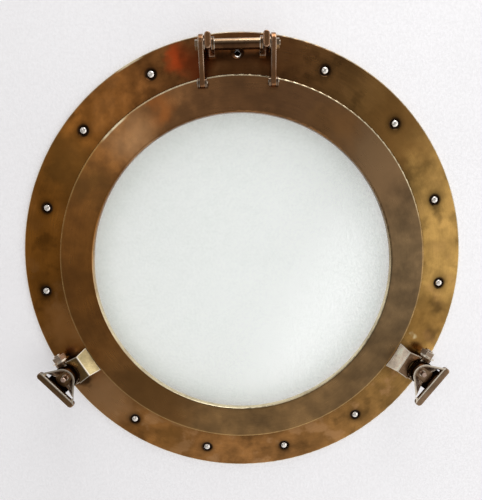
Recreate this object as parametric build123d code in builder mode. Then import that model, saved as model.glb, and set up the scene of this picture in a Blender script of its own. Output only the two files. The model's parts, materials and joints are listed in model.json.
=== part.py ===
"""A top-hinged brass porthole with a glazed sash and two dogs, modelled closed.

The frame ring stands against the wall plane XZ and faces -Y, with +Z up. The origin is the
centre of the ring on the wall plane, and a height below is a distance in front of the wall.
"""
import os
from math import cos, radians, sin, tan

from build123d import *

os.makedirs("parts", exist_ok=True)

# General fits
seam = 0.05
running_clearance = 0.05
end_play = 0.3
overrun = 5.0

# Sash ring and its glazing, from the clear opening outward
lip_radius = 142.8
lip_round = 1.4
lip_rise = 6.0
gasket_setback = 2.2
gasket_thickness = 1.0
glass_overlap = 11.2
glass_thickness = 4.0
glass_edge_gap = 0.5
retainer_bite = 4.5
retainer_land = 8.5
retainer_thickness = 2.5
retainer_screw_inset = 4.3
retainer_screw_count = 8
retainer_screw_radius = 1.4
retainer_screw_head_radius = 2.6
retainer_screw_head_height = 1.3
retainer_screw_depth = 4.0
sash_seat_gap = 0.3
sash_edge_thickness = 5.2
sash_edge_round = 1.2

# Frame ring
bore_clearance = 1.0
hub_wall = 13.0
seal_inset = 4.0
seal_width = 5.0
seal_depth = 2.5
seat_width = 12.5
seat_height = 10.0
sash_rim_gap = 1.9
flange_width = 37.6
flange_wall = 3.5
rim_height = 3.2
rim_round = 1.8
rim_foot = 12.0

# Wall screws and their countersinks
screw_inset = 19.0
screw_places = 15
screw_hole_radius = 2.2
countersink_radius = 6.0
countersink_angle = 120.0
screw_head_radius = 3.3
screw_dome_height = 1.9
screw_shank_radius = 2.1
screw_shank_past = 1.5
screw_thread_radius = 1.75
screw_reach = 16.0
screw_point_length = 4.0
screw_recess_radius = 0.9
screw_recess_depth = 0.8

# Hinge
hinge_inset = 15.0
hinge_rise = 7.0
hinge_bolt_radius = 2.5
hinge_hex_flats = 8.0
hinge_hex_thickness = 2.6
hinge_bolt_overhang = 0.8
lug_centre_x = 25.8
lug_thickness = 6.0
lug_below = 5.4
lug_above = 8.6
lug_overreach = 9.0
lug_round = 2.8
lug_foot_reach = 2.4
lug_foot_width = 8.0
lug_foot_thickness = 2.5
collar_radius = 6.2
collar_thickness = 2.4
tube_radius = 4.7
washer_radius = 5.5
washer_thickness = 0.8

# Hinge arms
arm_thickness = 4.8
arm_eye_radius = 8.6
arm_bend_gap = 1.5
arm_bend_lift = 2.5
arm_bend_radius = 3.4
arm_toe_reach = 9.5
arm_toe_lift = 0.9
arm_toe_radius = 2.2
arm_edge_round = 0.9
cheek_thickness = 1.8
cheek_radius = 4.6
cheek_reach = 7.8
cheek_sink = 0.9
rivet_radius = 1.0
rivet_head_radius = 1.7
rivet_head_height = 0.7
rivet_lift = 0.1

# Dogs, at their angles from the top
dog_angles = {"left": 120.5, "right": 121.2}
dog_space_angle = 12.0
pivot_inset = 11.5
pivot_clearance = 0.17
pivot_bolt_radius = 3.9
pivot_hex_flats = 12.7
pivot_nut_thickness = 5.0
pivot_bolt_overhang = 1.6
pivot_washer_overlap = 2.6
pivot_washer_thickness = 1.2
ear_plain_thickness = 3.0
ear_nut_thickness = 5.2
ear_half_width = 7.2
barrel_length = 18.4
barrel_radius = 6.1
swing_shank_radius = 2.5
swing_tip_lift = 7.0
swing_tip_chamfer = 0.5

# Stirrup nuts on the swing bolts
nut_lug_gap = 0.5
nut_lifts = {"left": 0.0, "right": 2.0}
nut_turn_angles = {"left": 11.5, "right": 6.5}
nut_bar_shifts = {"left": 2.2, "right": 4.6}
nut_depth = 10.0
nut_floor_thickness = 2.5
nut_foot_radius = 11.4
nut_foot_reach = 12.6
nut_foot_half_width = 11.0
nut_rim_radius = 11.6
nut_neck_radius = 8.0
nut_neck_corner = 7.8
nut_cup_angle = 30.0
nut_corner_reach = 1.5
nut_corner_setback = 0.6
nut_wall = 2.0
nut_bar_inner = 9.8
nut_bar_width = 7.2
nut_bar_depth = 5.4
nut_bar_length = 46.0
nut_bar_flat = 0.4
nut_bar_round = 1.6
nut_arm_breadth = 6.0

# Clamp lugs on the sash
clamp_foot_half_width = 13.4
clamp_waist_half_width = 11.5
clamp_end_half_width = 12.8
clamp_strap = 4.0
clamp_rise = 10.5
clamp_bend_reach = 8.0
clamp_end_setback = 7.5
clamp_notch_clearance = 1.3
clamp_foot_gap = 0.8
clamp_bend_round = 0.5

FRONT = Vector(0, -1, 0)
SIDES = {"left": -1, "right": 1}


def spot(radius, angle, height):
    """A point given by its radius, its angle clockwise from the top and its height."""
    return Vector(radius * sin(radians(angle)), -height, radius * cos(radians(angle)))


def finish(builder, name):
    """Names a finished piece and writes it."""
    builder.part.label = name
    export_step(builder.part, f"parts/{name}.step")
    print(name, round(builder.part.volume))


# Radii that follow from the sizes above, from the opening outward
gasket_inner_radius = lip_radius + gasket_setback
glass_radius = lip_radius + glass_overlap
rebate_radius = glass_radius + glass_edge_gap
retainer_inner_radius = glass_radius - retainer_bite
retainer_outer_radius = rebate_radius + retainer_land
retainer_screw_circle_radius = rebate_radius + retainer_screw_inset
frame_bore_radius = retainer_outer_radius + bore_clearance
hub_radius = frame_bore_radius + hub_wall
seal_inner_radius = frame_bore_radius + seal_inset
sash_radius = frame_bore_radius + seat_width
face_inner_radius = sash_radius + sash_rim_gap
outer_radius = face_inner_radius + flange_width
channel_radius = outer_radius - rim_foot
screw_circle_radius = outer_radius - screw_inset
pivot_radius = outer_radius - pivot_inset

# Heights, from the seat outward
sash_back = seat_height + sash_seat_gap
sash_edge_front = sash_back + sash_edge_thickness
lip_height = sash_edge_front + lip_rise
glass_front = sash_back + glass_thickness
lip_back = glass_front + gasket_thickness
retainer_back = sash_back - retainer_thickness


def face_height(radius):
    """Height of the frame's sloping front face at a radius."""
    slope = (seat_height - rim_height) / flange_width
    return rim_height + (outer_radius - radius) * slope


def sash_face_height(radius):
    """Height of the sash's sloping front face at a radius."""
    slope = lip_rise / (sash_radius - lip_radius)
    return sash_edge_front + (sash_radius - radius) * slope


# Places of the screws and of the holes for them
screw_face = face_height(screw_circle_radius)
screw_angles = [360 / screw_places * place for place in range(screw_places)]
dog_places = [dog_angles["right"], 360 - dog_angles["left"]]
hole_angles = [
    angle for angle in screw_angles if min(abs(angle - dog) for dog in dog_places) > dog_space_angle
]
filled_angles = [angle for angle in hole_angles if angle]

# Places of the hinge, its arms, the dogs and the clamp lugs
hinge_axis_z = outer_radius - hinge_inset
hinge_axis_height = seat_height + hinge_rise
arm_bend = (sash_radius + arm_bend_gap, sash_edge_front + arm_bend_lift)
arm_toe_z = sash_radius - arm_toe_reach
arm_toe = (arm_toe_z, sash_face_height(arm_toe_z) + arm_toe_lift)
cheek_z = sash_radius - cheek_reach
cheek_centre = (cheek_z, sash_face_height(cheek_z) - cheek_sink)
rivet_centre = (cheek_z, sash_face_height(cheek_z) + rivet_head_radius + rivet_lift)
pivot_hex_radius = pivot_hex_flats / 2
pivot_washer_radius = pivot_hex_radius + pivot_washer_overlap
pivot_height = face_height(pivot_radius - pivot_washer_radius) + pivot_washer_radius + pivot_clearance
clamp_bend_radius = sash_radius + clamp_bend_reach
clamp_top_height = sash_edge_front + clamp_rise
nut_base_height = clamp_top_height + nut_lug_gap

# Side plane with local x up and local y out from the wall, used for the hinge
hinge_plane = Plane(origin=(0, 0, 0), x_dir=(0, 0, 1), z_dir=(1, 0, 0))
hinge_centre = (hinge_axis_z, hinge_axis_height)

# Frame ring with its hollow back, seal groove and countersunk holes
with BuildPart() as outer_ring:
    with BuildSketch(Plane.XY) as frame_profile:
        with BuildLine():
            Polyline(
                (frame_bore_radius, 0),
                (hub_radius, 0),
                (hub_radius, flange_wall - seat_height),
                (channel_radius, flange_wall - face_height(channel_radius)),
                (channel_radius, 0),
                (outer_radius, 0),
                (outer_radius, -rim_height),
                (face_inner_radius, -seat_height),
                (seal_inner_radius + seal_width, -seat_height),
                (seal_inner_radius + seal_width, seal_depth - seat_height),
                (seal_inner_radius, seal_depth - seat_height),
                (seal_inner_radius, -seat_height),
                (frame_bore_radius, -seat_height),
                close=True,
            )
        make_face()
        fillet(frame_profile.vertices().group_by(Axis.X)[-1].sort_by(Axis.Y)[0], radius=rim_round)
    revolve(axis=Axis.Y)
    screw_seats = [
        Plane(origin=spot(screw_circle_radius, angle, screw_face), x_dir=(1, 0, 0), z_dir=FRONT)
        for angle in hole_angles
    ]
    with Locations(*screw_seats):
        CounterSinkHole(
            radius=screw_hole_radius,
            counter_sink_radius=countersink_radius,
            depth=seat_height,
            counter_sink_angle=countersink_angle,
        )
finish(outer_ring, "outer_ring")

# Rubber seal that fills the groove in the frame's seat
with BuildPart() as frame_seal:
    with BuildSketch(Plane.XY):
        with BuildLine():
            Polyline(
                (seal_inner_radius + seam, seal_depth - seat_height - seam),
                (seal_inner_radius + seal_width - seam, seal_depth - seat_height - seam),
                (seal_inner_radius + seal_width - seam, -seat_height),
                (seal_inner_radius + seam, -seat_height),
                close=True,
            )
        make_face()
    revolve(axis=Axis.Y)
finish(frame_seal, "frame_seal")

# Round-headed wall screws, one in each hole but the empty one at the top
countersink_slope = 1 / tan(radians(countersink_angle / 2))
head_rim_height = screw_face - (countersink_radius - screw_head_radius) * countersink_slope + seam
head_under_height = screw_face - (countersink_radius - screw_hole_radius) * countersink_slope + seam
shank_end_height = screw_face - flange_wall - screw_shank_past
with BuildPart() as wall_screw:
    with BuildSketch(Plane.XY) as screw_profile:
        with BuildLine():
            Polyline(
                (0, -head_rim_height - screw_dome_height + screw_recess_depth),
                (0, screw_reach),
                (screw_thread_radius, screw_reach - screw_point_length),
                (screw_thread_radius, -shank_end_height),
                (screw_shank_radius, -shank_end_height),
                (screw_shank_radius, -head_under_height),
                (screw_hole_radius, -head_under_height),
                (screw_head_radius, -head_rim_height),
            )
            dome = RadiusArc(
                (screw_head_radius, -head_rim_height),
                (screw_recess_radius, -head_rim_height - screw_dome_height),
                screw_head_radius,
            )
            Line(dome @ 1, (0, -head_rim_height - screw_dome_height + screw_recess_depth))
        make_face()
    revolve(axis=Axis.Y)
with BuildPart() as wall_screws:
    with Locations(*[Location(spot(screw_circle_radius, angle, 0)) for angle in filled_angles]):
        add(wall_screw.part)
finish(wall_screws, "wall_screws")

# Sash ring with a raised lip round the glass and a rebate behind it
with BuildPart() as sash_ring:
    with BuildSketch(Plane.XY) as sash_profile:
        with BuildLine():
            Polyline(
                (rebate_radius, -sash_back),
                (sash_radius, -sash_back),
                (sash_radius, -sash_edge_front),
                (lip_radius, -lip_height),
                (lip_radius, -lip_back),
                (rebate_radius, -lip_back),
                close=True,
            )
        make_face()
        outer_corner = sash_profile.vertices().sort_by_distance((sash_radius, -sash_edge_front))[0]
        fillet(outer_corner, radius=sash_edge_round)
        lip_corner = sash_profile.vertices().sort_by_distance((lip_radius, -lip_height))[0]
        fillet(lip_corner, radius=lip_round)
    revolve(axis=Axis.Y)
    retainer_angles = [360 / retainer_screw_count * place for place in range(retainer_screw_count)]
    retainer_holes = [
        Plane(origin=spot(retainer_screw_circle_radius, angle, sash_back), z_dir=-FRONT)
        for angle in retainer_angles
    ]
    with Locations(*retainer_holes):
        Hole(radius=retainer_screw_radius + seam, depth=retainer_screw_depth)
finish(sash_ring, "sash_ring")

# Glazing, from the front: rubber gasket, glass, retaining ring and its screws
with BuildPart() as glazing_gasket:
    with BuildSketch(Plane.XZ.offset(glass_front + seam)):
        Circle(glass_radius)
        Circle(gasket_inner_radius, mode=Mode.SUBTRACT)
    extrude(amount=gasket_thickness - 2 * seam)
finish(glazing_gasket, "glazing_gasket")

with BuildPart() as glass_pane:
    with BuildSketch(Plane.XZ.offset(sash_back)):
        Circle(glass_radius)
    extrude(amount=glass_thickness)
finish(glass_pane, "glass_pane")

with BuildPart() as retaining_ring:
    with BuildSketch(Plane.XZ.offset(sash_back)):
        Circle(retainer_outer_radius)
        Circle(retainer_inner_radius, mode=Mode.SUBTRACT)
        with PolarLocations(retainer_screw_circle_radius, retainer_screw_count, start_angle=90):
            Circle(retainer_screw_radius + seam, mode=Mode.SUBTRACT)
    extrude(amount=-retainer_thickness)
finish(retaining_ring, "retaining_ring")

with BuildPart() as retaining_screws:
    with BuildSketch(Plane.XZ.offset(retainer_back)):
        with PolarLocations(retainer_screw_circle_radius, retainer_screw_count, start_angle=90):
            Circle(retainer_screw_head_radius)
    extrude(amount=-retainer_screw_head_height, taper=15)
    with BuildSketch(Plane.XZ.offset(retainer_back)):
        with PolarLocations(retainer_screw_circle_radius, retainer_screw_count, start_angle=90):
            Circle(retainer_screw_radius)
    extrude(amount=retainer_thickness + retainer_screw_depth - seam)
finish(retaining_screws, "retaining_screws")

# Outer forms of the frame and the sash, which seat what stands on them
with BuildPart() as frame_form:
    with BuildSketch(Plane.XY):
        with BuildLine():
            Polyline(
                (0, overrun),
                (outer_radius, overrun),
                (outer_radius, -rim_height - seam),
                (face_inner_radius, -seat_height - seam),
                (0, -seat_height - seam),
                close=True,
            )
        make_face()
    revolve(axis=Axis.Y)

with BuildPart() as sash_form:
    with BuildSketch(Plane.XY):
        with BuildLine():
            Polyline(
                (0, overrun),
                (sash_radius + seam, overrun),
                (sash_radius + seam, -sash_edge_front - seam),
                (lip_radius, -lip_height - seam),
                (0, -lip_height - seam),
                close=True,
            )
        make_face()
    revolve(axis=Axis.Y)

# Hinge lugs on the frame, each with a foot towards the middle
lug_foot_length = lug_thickness / 2 + lug_foot_reach
for name, side in SIDES.items():
    with BuildPart() as hinge_lug:
        with BuildSketch(hinge_plane.offset(side * lug_centre_x)):
            with BuildLine():
                Polyline(
                    (hinge_axis_z - lug_below, 0),
                    (hinge_axis_z + lug_above, 0),
                    (hinge_axis_z + lug_above, hinge_axis_height + lug_overreach),
                    (hinge_axis_z - lug_below, hinge_axis_height + lug_overreach),
                    close=True,
                )
            make_face()
        extrude(amount=lug_thickness / 2, both=True)
        fillet(hinge_lug.edges().filter_by(Axis.Y), radius=lug_round)
        fillet(hinge_lug.faces().sort_by(Axis.Y)[0].edges(), radius=lug_round / 2)
        with BuildSketch(Plane.XZ):
            with Locations((side * (lug_centre_x - lug_foot_length / 2), screw_circle_radius)):
                Rectangle(lug_foot_length, lug_foot_width)
        extrude(amount=screw_face + lug_foot_thickness)
        with BuildSketch(hinge_plane.offset(side * lug_centre_x)):
            with Locations(hinge_centre):
                Circle(hinge_bolt_radius + seam)
        extrude(amount=lug_thickness, both=True, mode=Mode.SUBTRACT)
        add(frame_form.part, mode=Mode.SUBTRACT)
    finish(hinge_lug, f"{name}_hinge_lug")

# Spacer tube and collars between the lugs, washers outside them
lug_inner_x = lug_centre_x - lug_thickness / 2
lug_outer_x = lug_centre_x + lug_thickness / 2
collar_inner_x = lug_inner_x - seam - collar_thickness
washer_x = lug_outer_x + seam
arm_inner_x = washer_x + washer_thickness + seam
arm_outer_x = arm_inner_x + arm_thickness
tube_half = collar_inner_x - seam

with BuildPart() as hinge_tube:
    with BuildSketch(hinge_plane):
        with Locations(hinge_centre):
            Circle(tube_radius)
            Circle(hinge_bolt_radius + seam, mode=Mode.SUBTRACT)
    extrude(amount=tube_half, both=True)
finish(hinge_tube, "hinge_tube")

with BuildPart() as hinge_collars:
    for side in SIDES.values():
        with BuildSketch(hinge_plane.offset(side * (collar_inner_x + collar_thickness / 2))):
            with Locations(hinge_centre):
                Circle(collar_radius)
                Circle(hinge_bolt_radius + seam, mode=Mode.SUBTRACT)
        extrude(amount=collar_thickness / 2, both=True)
finish(hinge_collars, "hinge_collars")

with BuildPart() as hinge_washers:
    for side in SIDES.values():
        with BuildSketch(hinge_plane.offset(side * (washer_x + washer_thickness / 2))):
            with Locations(hinge_centre):
                Circle(washer_radius)
                Circle(hinge_bolt_radius + seam, mode=Mode.SUBTRACT)
        extrude(amount=washer_thickness / 2, both=True)
finish(hinge_washers, "hinge_washers")

# Hinge bolt with its head on the left, and its nut on the right
hex_x = arm_outer_x + end_play
with BuildPart() as hinge_bolt:
    with BuildSketch(hinge_plane.offset(-hex_x)):
        with Locations(hinge_centre):
            Circle(hinge_bolt_radius)
    extrude(amount=2 * hex_x + hinge_hex_thickness + hinge_bolt_overhang)
    with BuildSketch(hinge_plane.offset(-hex_x)):
        with Locations(hinge_centre):
            RegularPolygon(radius=hinge_hex_flats / 2, side_count=6, major_radius=False)
    extrude(amount=-hinge_hex_thickness)
finish(hinge_bolt, "hinge_bolt")

with BuildPart() as hinge_nut:
    with BuildSketch(hinge_plane.offset(hex_x)):
        with Locations(hinge_centre):
            RegularPolygon(radius=hinge_hex_flats / 2, side_count=6, major_radius=False)
            Circle(hinge_bolt_radius + seam, mode=Mode.SUBTRACT)
    extrude(amount=hinge_hex_thickness)
finish(hinge_nut, "hinge_nut")

# Hinge arms from the bolt down onto the sash
arm_centre_x = arm_inner_x + arm_thickness / 2
for name, side in SIDES.items():
    arm_plane = hinge_plane.offset(side * arm_centre_x)
    with BuildPart() as hinge_arm:
        with BuildSketch(arm_plane):
            with Locations(hinge_centre):
                Circle(arm_eye_radius)
            with Locations(arm_bend):
                Circle(arm_bend_radius)
            make_hull()
        extrude(amount=arm_thickness / 2, both=True)
        with BuildSketch(arm_plane):
            with Locations(arm_bend):
                Circle(arm_bend_radius)
            with Locations(arm_toe):
                Circle(arm_toe_radius)
            make_hull()
        extrude(amount=arm_thickness / 2, both=True)
        caps = hinge_arm.faces().filter_by(Axis.X)
        fillet(caps.edges(), radius=arm_edge_round)
        with BuildSketch(arm_plane):
            with Locations(hinge_centre):
                Circle(hinge_bolt_radius + running_clearance)
            with Locations(rivet_centre):
                Circle(rivet_radius + seam)
        extrude(amount=arm_thickness, both=True, mode=Mode.SUBTRACT)
        add(sash_form.part, mode=Mode.SUBTRACT)
    finish(hinge_arm, f"{name}_hinge_arm")

# Cheeks that hold the arms' feet on the sash, with a cross rivet through each pair
cheek_offset = arm_thickness / 2 + seam + cheek_thickness / 2
with BuildPart() as arm_cheeks:
    for side in SIDES.values():
        for flank in SIDES.values():
            with BuildSketch(hinge_plane.offset(side * arm_centre_x + flank * cheek_offset)):
                with Locations(cheek_centre):
                    Circle(cheek_radius)
                with Locations(rivet_centre):
                    Circle(rivet_radius + seam, mode=Mode.SUBTRACT)
            extrude(amount=cheek_thickness / 2, both=True)
    add(sash_form.part, mode=Mode.SUBTRACT)
finish(arm_cheeks, "arm_cheeks")

rivet_half = cheek_offset + cheek_thickness / 2 + seam
with BuildPart() as arm_rivets:
    for side in SIDES.values():
        with BuildSketch(hinge_plane.offset(side * arm_centre_x)):
            with Locations(rivet_centre):
                Circle(rivet_radius)
        extrude(amount=rivet_half, both=True)
        for flank in SIDES.values():
            with BuildSketch(hinge_plane.offset(side * arm_centre_x + flank * rivet_half)):
                with Locations(rivet_centre):
                    Circle(rivet_head_radius)
            extrude(amount=flank * rivet_head_height, taper=30)
finish(arm_rivets, "arm_rivets")

# Dogs and the clamp lugs that they hold
ear_inner = barrel_length / 2 + end_play
ear_plain_face = ear_inner + ear_plain_thickness
ear_nut_face = ear_inner + ear_nut_thickness
clamp_notch_radius = max(nut_rim_radius, nut_foot_radius) + clamp_notch_clearance
clamp_end_radius = pivot_radius - clamp_end_setback
clamp_foot_bottom = seat_height + clamp_foot_gap
nut_floor_height = nut_base_height + nut_floor_thickness
for name, side in SIDES.items():
    outward = spot(1, side * dog_angles[name], 0)
    along = outward.cross(FRONT)
    section = Plane(origin=(0, 0, 0), x_dir=outward, z_dir=along)
    plan = Plane(origin=(0, 0, 0), x_dir=outward, z_dir=FRONT)
    pivot_centre = (pivot_radius, pivot_height)
    nut_way = -side

    with BuildPart() as dog_ears:
        for flank in SIDES.values():
            ear_thickness = ear_nut_thickness if flank == nut_way else ear_plain_thickness
            with BuildSketch(section.offset(flank * (ear_inner + ear_thickness / 2))):
                with Locations(pivot_centre):
                    Circle(ear_half_width)
                with Locations((pivot_radius, pivot_height / 2)):
                    Rectangle(2 * ear_half_width, pivot_height)
                with Locations(pivot_centre):
                    Circle(pivot_bolt_radius + seam, mode=Mode.SUBTRACT)
            extrude(amount=ear_thickness / 2, both=True)
        add(frame_form.part, mode=Mode.SUBTRACT)
    finish(dog_ears, f"{name}_dog_ears")

    with BuildPart() as pivot_washer:
        with BuildSketch(section.offset(nut_way * (ear_nut_face + seam))):
            with Locations(pivot_centre):
                Circle(pivot_washer_radius)
                Circle(pivot_bolt_radius + seam, mode=Mode.SUBTRACT)
        extrude(amount=nut_way * pivot_washer_thickness)
    finish(pivot_washer, f"{name}_pivot_washer")

    nut_seat = ear_nut_face + seam + pivot_washer_thickness + seam
    with BuildPart() as pivot_bolt:
        with BuildSketch(section.offset(-nut_way * ear_plain_face)):
            with Locations(pivot_centre):
                Circle(pivot_bolt_radius)
        extrude(amount=nut_way * (ear_plain_face + nut_seat + pivot_nut_thickness + pivot_bolt_overhang))
    finish(pivot_bolt, f"{name}_pivot_bolt")

    with BuildPart() as pivot_nut:
        with BuildSketch(section.offset(nut_way * nut_seat)):
            with Locations(pivot_centre):
                RegularPolygon(radius=pivot_hex_radius, side_count=6, major_radius=False)
                Circle(pivot_bolt_radius + seam, mode=Mode.SUBTRACT)
        extrude(amount=nut_way * pivot_nut_thickness)
    finish(pivot_nut, f"{name}_pivot_nut")

    with BuildPart() as swing_bolt:
        with BuildSketch(section):
            with Locations(pivot_centre):
                Circle(barrel_radius)
        extrude(amount=barrel_length / 2, both=True)
        with BuildSketch(plan.offset(pivot_height)):
            with Locations((pivot_radius, 0)):
                Circle(swing_shank_radius)
        extrude(amount=nut_floor_height + swing_tip_lift - pivot_height)
        chamfer(swing_bolt.faces().sort_by(Axis.Y)[0].edges(), length=swing_tip_chamfer)
        with BuildSketch(section):
            with Locations(pivot_centre):
                Circle(pivot_bolt_radius + running_clearance)
        extrude(amount=barrel_length, both=True, mode=Mode.SUBTRACT)
    finish(swing_bolt, f"{name}_swing_bolt")

    nut_plane = Plane(
        origin=spot(pivot_radius, side * dog_angles[name], nut_base_height + nut_lifts[name]),
        x_dir=spot(1, side * (dog_angles[name] + nut_turn_angles[name]), 0),
        z_dir=FRONT,
    )
    bar_middle = -side * nut_bar_shifts[name]
    bar_place = (nut_bar_inner + nut_bar_width / 2, bar_middle)
    corner_x = nut_bar_inner + nut_corner_reach
    corner_y = nut_bar_length / 2 - nut_corner_setback
    with BuildPart() as nut_bar:
        with BuildSketch(nut_plane.offset(nut_depth)):
            with Locations(bar_place):
                RectangleRounded(nut_bar_width, nut_bar_length, nut_bar_width / 2 - nut_bar_flat)
        extrude(amount=-nut_bar_depth)
        fillet(nut_bar.edges().filter_by(Axis.Y, reverse=True), radius=nut_bar_round)

    with BuildPart() as stirrup_nut:
        for inset, mode in ((0, Mode.ADD), (nut_wall, Mode.SUBTRACT)):
            levels = (
                (nut_floor_thickness, nut_neck_radius, nut_neck_corner, nut_neck_corner, 0),
                (nut_depth, nut_rim_radius, corner_x, corner_y, bar_middle),
            )
            for level, radius, reach, half_length, middle in levels:
                round_end = radius - inset
                back = -round_end * sin(radians(nut_cup_angle))
                flank = round_end * cos(radians(nut_cup_angle))
                with BuildSketch(nut_plane.offset(level)):
                    with BuildLine():
                        ThreePointArc((back, flank), (-round_end, 0), (back, -flank))
                        Polyline(
                            (back, -flank),
                            (reach, middle - half_length + inset),
                            (reach, middle + half_length - inset),
                            (back, flank),
                        )
                    make_face()
            loft(ruled=True, mode=mode)
        with BuildSketch(nut_plane.offset(nut_depth)):
            with Locations((nut_neck_corner + nut_bar_length / 2 - nut_wall, bar_middle)):
                Rectangle(nut_bar_length, nut_bar_length - 2 * nut_arm_breadth)
        extrude(amount=-nut_depth, mode=Mode.SUBTRACT)
        with BuildSketch(nut_plane):
            Circle(nut_foot_radius)
            with Locations((nut_foot_reach / 2, 0)):
                Rectangle(nut_foot_reach, 2 * nut_foot_half_width)
        extrude(amount=nut_floor_thickness)
        add(nut_bar.part)
        with BuildSketch(nut_plane):
            Circle(swing_shank_radius + running_clearance)
        extrude(amount=nut_depth, mode=Mode.SUBTRACT)
    finish(stirrup_nut, f"{name}_stirrup_nut")

    with BuildPart() as clamp_lug:
        with BuildSketch(section) as strap_section:
            with BuildLine():
                Polyline(
                    (sash_radius - overrun, clamp_foot_bottom),
                    (sash_radius - overrun, sash_edge_front),
                    (sash_radius, sash_edge_front),
                    (clamp_bend_radius, clamp_top_height),
                    (clamp_end_radius, clamp_top_height),
                    (clamp_end_radius, clamp_top_height - clamp_strap),
                    (clamp_bend_radius + clamp_strap / 2, clamp_top_height - clamp_strap),
                    (sash_radius + clamp_strap, sash_edge_front - clamp_strap / 4),
                    (sash_radius + clamp_strap, clamp_foot_bottom),
                    close=True,
                )
            make_face()
            bend = strap_section.vertices().sort_by_distance((clamp_bend_radius, clamp_top_height))[0]
            fillet(bend, radius=clamp_bend_round)
        extrude(amount=clamp_foot_half_width, both=True)
        with BuildSketch(plan):
            with BuildLine():
                Polyline(
                    (sash_radius - overrun, -clamp_foot_half_width),
                    (sash_radius, -clamp_foot_half_width),
                    (clamp_bend_radius, -clamp_waist_half_width),
                    (clamp_end_radius, -clamp_end_half_width),
                    (clamp_end_radius, clamp_end_half_width),
                    (clamp_bend_radius, clamp_waist_half_width),
                    (sash_radius, clamp_foot_half_width),
                    (sash_radius - overrun, clamp_foot_half_width),
                    close=True,
                )
            make_face()
        extrude(amount=clamp_top_height + overrun, mode=Mode.INTERSECT)
        with BuildSketch(plan):
            with Locations((pivot_radius, 0)):
                Circle(clamp_notch_radius)
        extrude(amount=clamp_top_height + overrun, mode=Mode.SUBTRACT)
        add(sash_form.part, mode=Mode.SUBTRACT)
    finish(clamp_lug, f"{name}_clamp_lug")
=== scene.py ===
# %% [markdown]
# A brass porthole, dressed in Blender
#
# The object is a round ship's window: a wide brass ring that is screwed to a wall, a glazed sash that
# hinges at the top, and two dogs that hold it shut. The CAD model comes in as a fixed frame, in metres,
# with the wall in the XZ plane and the viewer at -Y. Every cell below adds looks to it and moves nothing.

# %% load the frame
import json
import math

import bpy
from mathutils import Matrix, Vector


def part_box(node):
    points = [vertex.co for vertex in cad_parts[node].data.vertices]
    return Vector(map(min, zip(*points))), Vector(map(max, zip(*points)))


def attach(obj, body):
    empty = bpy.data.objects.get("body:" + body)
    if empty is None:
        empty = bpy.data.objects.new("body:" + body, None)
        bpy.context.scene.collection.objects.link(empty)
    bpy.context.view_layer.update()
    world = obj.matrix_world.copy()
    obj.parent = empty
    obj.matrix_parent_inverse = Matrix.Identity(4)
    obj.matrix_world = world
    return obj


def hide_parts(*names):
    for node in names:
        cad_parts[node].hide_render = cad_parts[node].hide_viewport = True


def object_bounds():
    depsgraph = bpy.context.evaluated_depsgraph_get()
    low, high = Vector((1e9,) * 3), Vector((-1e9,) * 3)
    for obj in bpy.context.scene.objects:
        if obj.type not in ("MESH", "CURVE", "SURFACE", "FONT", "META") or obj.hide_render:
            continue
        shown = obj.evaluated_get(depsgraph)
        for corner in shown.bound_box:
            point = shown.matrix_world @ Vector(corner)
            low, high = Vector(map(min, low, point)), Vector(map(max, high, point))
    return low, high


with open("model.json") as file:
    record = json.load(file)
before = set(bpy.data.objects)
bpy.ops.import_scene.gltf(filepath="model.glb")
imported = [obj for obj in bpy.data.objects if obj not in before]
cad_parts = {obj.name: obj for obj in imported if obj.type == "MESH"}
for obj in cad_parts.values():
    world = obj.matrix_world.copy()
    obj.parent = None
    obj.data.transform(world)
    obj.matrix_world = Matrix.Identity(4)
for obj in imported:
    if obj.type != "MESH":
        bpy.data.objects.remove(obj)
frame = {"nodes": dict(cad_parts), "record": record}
nodes = frame["nodes"]
cad_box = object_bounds()
MM = 0.001
print("nodes:", len(nodes), "box:", [round(v, 4) for v in cad_box[0]], [round(v, 4) for v in cad_box[1]])

# %% [markdown]
# The camera
#
# A photograph is matched by working backwards: the screws lie on a circle of known size, and their places
# in the picture give the lens, the distance and the tilt. This picture was probably taken with a phone,
# from about half a metre and a little above the middle. It was then cropped, so the lens is shifted.

# %% camera
PICTURE_HEIGHT = 500
FOCAL_PIXELS = 483.0
SHIFT_PIXELS = 43.8
SENSOR = 36.0
RIGHT = Vector((0.99978, 0.0, -0.02094))
UP = Vector((0.02056, 0.18856, 0.98184))
CAMERA_PLACE = Vector((0.53, -481.1, 63.6)) * MM

camera_data = bpy.data.cameras.new("camera")
camera_data.sensor_width = SENSOR
camera_data.lens = FOCAL_PIXELS / PICTURE_HEIGHT * SENSOR
camera_data.shift_y = SHIFT_PIXELS / PICTURE_HEIGHT
camera = bpy.data.objects.new("camera", camera_data)
bpy.context.scene.collection.objects.link(camera)
camera.matrix_world = Matrix((RIGHT, UP, RIGHT.cross(UP))).transposed().to_4x4()
camera.location = CAMERA_PLACE
bpy.context.scene.camera = camera
print("lens", round(camera_data.lens, 2), "mm")

# %% [markdown]
# Short words for node trees
#
# A material is a small graph. Written out in full, each node takes three or four lines, and the idea is
# lost among them. These helpers give one line to one thought: a number, a smooth step from one value to
# another, a noise, a mix of two colours. Each takes plain numbers or the outputs of other nodes.

# %% helpers for nodes and sums
def put(tree, value, place):
    """Sets an input to a number or colour, or links an output to it."""
    if isinstance(value, bpy.types.NodeSocket):
        tree.links.new(value, place)
    elif isinstance(value, (tuple, list)) and place.type == "RGBA":
        place.default_value = (*value[:3], 1.0)
    else:
        place.default_value = value


def add_node(tree, kind, settings=(), **values):
    """A new node, with its settings as pairs and its inputs by name, where _ stands for a space."""
    node = tree.nodes.new(kind)
    for key, value in settings:
        setattr(node, key, value)
    for key, value in values.items():
        put(tree, value, node.inputs[key.replace("_", " ")])
    return node


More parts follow.
